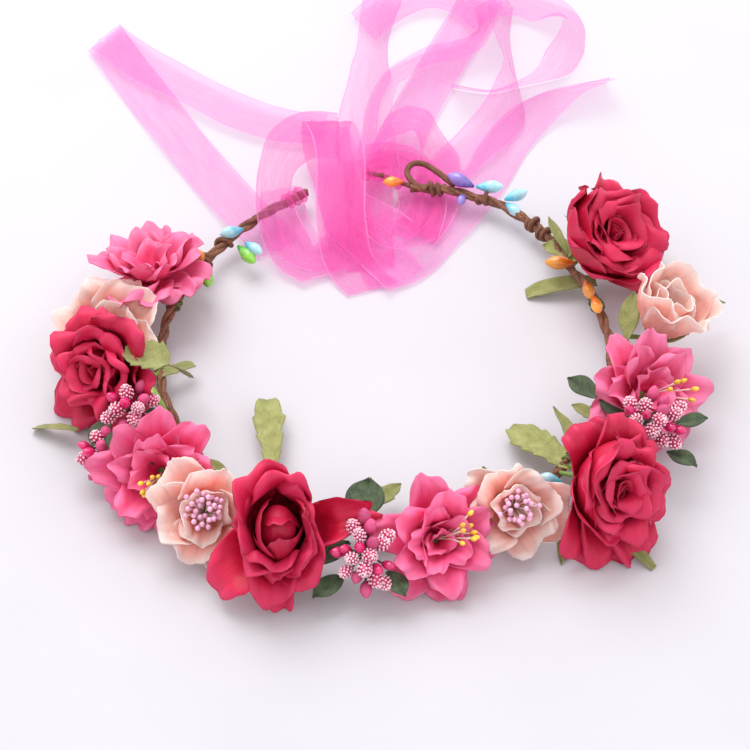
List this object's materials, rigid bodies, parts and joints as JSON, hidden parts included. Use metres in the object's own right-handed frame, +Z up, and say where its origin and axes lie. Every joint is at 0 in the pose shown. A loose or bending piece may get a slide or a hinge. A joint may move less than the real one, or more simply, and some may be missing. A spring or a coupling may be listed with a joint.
{
  "type": "flower crown",
  "caption": "Open wire ring wrapped as a twisted vine, set with fabric roses, lilies, peach blossoms, berries and leaves, with springy bare arms tied by an organza ribbon.",
  "frame": {"origin": "centre of the head opening, on the surface that the crown lies on", "axes": "+Z up out of the head opening, -Y the front where the flowers are, +Y the back where the ring is open and the ribbon lies"},
  "size_m": [0.2616, 0.3506, 0.0445],
  "materials": {
    "steel_wire": "bare drawn wire",
    "brown_paper_vine": "matt crinkled paper",
    "floral_tape": "matt waxed crepe",
    "crimson_fabric": "dyed satin-finish polyester",
    "hot_pink_fabric": "dyed polyester",
    "peach_fabric": "dyed polyester with pale edges",
    "green_plastic": "moulded",
    "yellow_stamen": "dipped tips",
    "pearl_pink": "pearl",
    "magenta_berry": "glossy and sugared",
    "dark_leaf": "dark woven",
    "olive_fabric": "woven, printed",
    "orange_bud": "foam",
    "green_bud": "foam",
    "blue_bud": "foam",
    "pink_organza": "sheer"
  },
  "bodies": {
    "garland": {"ring_wire_core": "steel_wire", "ring_vine_strands": "brown_paper_vine", "floral_tape_wraps": "floral_tape", "rose_left_petals": "crimson_fabric", "rose_front_left_petals": "crimson_fabric", "rose_front_right_petals": "crimson_fabric", "rose_back_right_petals": "crimson_fabric", "rose_left_heart": "crimson_fabric", "rose_front_left_heart": "crimson_fabric", "rose_front_right_heart": "crimson_fabric", "rose_back_right_heart": "crimson_fabric", "rose_calyxes": "green_plastic", "lily_left_petals": "hot_pink_fabric", "lily_front_left_petals": "hot_pink_fabric", "lily_front_petals": "hot_pink_fabric", "lily_right_petals": "hot_pink_fabric", "lily_stamens": "yellow_stamen", "lily_calyxes": "green_plastic", "peach_left_petals": "peach_fabric", "peach_front_left_petals": "peach_fabric", "peach_front_right_petals": "peach_fabric", "peach_right_petals": "peach_fabric", "peach_stamens": "pearl_pink", "peach_calyxes": "green_plastic", "berries_left": "magenta_berry", "berries_front": "magenta_berry", "berries_right": "magenta_berry", "berry_spray_stems": "dark_leaf", "leaves_left": "olive_fabric", "leaves_front": "olive_fabric", "leaves_right": "olive_fabric", "leaves_back": "olive_fabric", "drop_buds_ring": "orange_bud", "ribbon_left_tail": "pink_organza", "ribbon_left_return": "pink_organza", "ribbon_front_sweep": "pink_organza", "ribbon_right_tail": "pink_organza", "ribbon_rise": "pink_organza", "ribbon_top_arc": "pink_organza", "ribbon_diagonal": "pink_organza", "ribbon_upright": "pink_organza", "ribbon_right_loop": "pink_organza", "ribbon_right_loop_return": "pink_organza", "ribbon_strap_front": "pink_organza", "ribbon_strap_rear": "pink_organza", "ribbon_bow_front": "pink_organza", "ribbon_bow_rear": "pink_organza", "ribbon_swirl_front": "pink_organza", "ribbon_swirl_rear": "pink_organza"},
    "left_arm": {"left_arm_wire_core": "steel_wire", "left_arm_strands": "brown_paper_vine", "left_arm_knot": "brown_paper_vine", "left_arm_ribbon_wrap": "pink_organza", "drop_buds_left": "green_bud"},
    "right_arm": {"right_arm_wire_core": "steel_wire", "right_arm_strands": "brown_paper_vine", "right_arm_knot": "brown_paper_vine", "right_arm_ribbon_wrap": "pink_organza", "drop_buds_right": "blue_bud"}
  },
  "joints": [
    {"name": "left_arm_flex", "type": "hinge", "parent": "garland", "child": "left_arm", "pos_m": [-0.0825, 0.0385, 0.009], "axis": [0, 0, 1], "range_deg": [-4, 8], "stiffness_Nm_per_rad": 0.08},
    {"name": "right_arm_flex", "type": "hinge", "parent": "garland", "child": "right_arm", "pos_m": [0.0763, 0.0496, 0.009], "axis": [0, 0, -1], "range_deg": [-4, 8], "stiffness_Nm_per_rad": 0.08}
  ]
}
